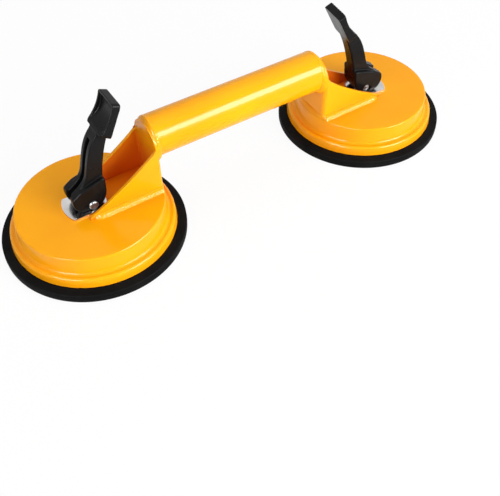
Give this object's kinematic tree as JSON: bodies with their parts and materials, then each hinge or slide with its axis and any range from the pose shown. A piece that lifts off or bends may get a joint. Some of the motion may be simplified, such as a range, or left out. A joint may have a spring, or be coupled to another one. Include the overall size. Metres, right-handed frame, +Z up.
{
  "type": "floor tile suction lifter",
  "caption": "Double suction lifter for floor tiles: a tube handle between two round rubber-padded cups, each with an upright cam lever that draws its vacuum.",
  "frame": {"origin": "on the floor, midway between the two cups", "axes": "+X from the left cup to the right cup along the handle, +Z up, +Y across the handle, away from the picture's camera"},
  "size_m": [0.332, 0.118, 0.0961],
  "materials": {
    "powder_coat": "glossy orange-yellow powder coat on steel",
    "pad_rubber": "matt black moulded rubber",
    "lever_plastic": "semi-gloss black moulded plastic",
    "bright_steel": "bright zinc-plated steel",
    "inner_steel": "plain steel, bonded in the rubber"
  },
  "bodies": {
    "frame": {"handle_tube": "powder_coat", "left_cup_plate": "powder_coat", "left_bracket": "powder_coat", "left_bracket_weld": "powder_coat", "left_tube_weld": "powder_coat", "right_cup_plate": "powder_coat", "right_bracket": "powder_coat", "right_bracket_weld": "powder_coat", "right_tube_weld": "powder_coat"},
    "left_pad": {"left_rubber_pad": "pad_rubber", "left_wear_plate": "bright_steel"},
    "left_stud": {"left_draw_stud": "bright_steel", "left_insert_disc": "inner_steel"},
    "left_lever": {"left_lever": "lever_plastic", "left_lever_pin": "bright_steel"},
    "right_pad": {"right_rubber_pad": "pad_rubber", "right_wear_plate": "bright_steel"},
    "right_stud": {"right_draw_stud": "bright_steel", "right_insert_disc": "inner_steel"},
    "right_lever": {"right_lever": "lever_plastic", "right_lever_pin": "bright_steel"}
  },
  "joints": [
    {"name": "left_swivel", "type": "hinge", "parent": "frame", "child": "left_pad", "pos_m": [-0.107, 0, 0.025], "axis": [0, 0, 1], "range_deg": [-15, 15]},
    {"name": "left_lift", "type": "slide", "parent": "left_pad", "child": "left_stud", "axis": [0, 0, 1], "range_m": [0, 0.0104]},
    {"name": "left_lever_turn", "type": "hinge", "parent": "left_stud", "child": "left_lever", "pos_m": [-0.107, 0, 0.0296], "axis": [0, -1, 0], "range_deg": [0, 105]},
    {"name": "right_swivel", "type": "hinge", "parent": "frame", "child": "right_pad", "pos_m": [0.107, 0, 0.025], "axis": [0, 0, 1], "range_deg": [-8, 22]},
    {"name": "right_lift", "type": "slide", "parent": "right_pad", "child": "right_stud", "axis": [0, 0, 1], "range_m": [0, 0.0104]},
    {"name": "right_lever_turn", "type": "hinge", "parent": "right_stud", "child": "right_lever", "pos_m": [0.107, 0, 0.0296], "axis": [0.1219, 0.9925, 0], "range_deg": [0, 107.2]}
  ],
  "couplings": [
    {"joint": "left_lift", "follows": "left_lever_turn", "m_per_rad": 0.0055},
    {"joint": "right_lift", "follows": "right_lever_turn", "m_per_rad": 0.0055}
  ]
}
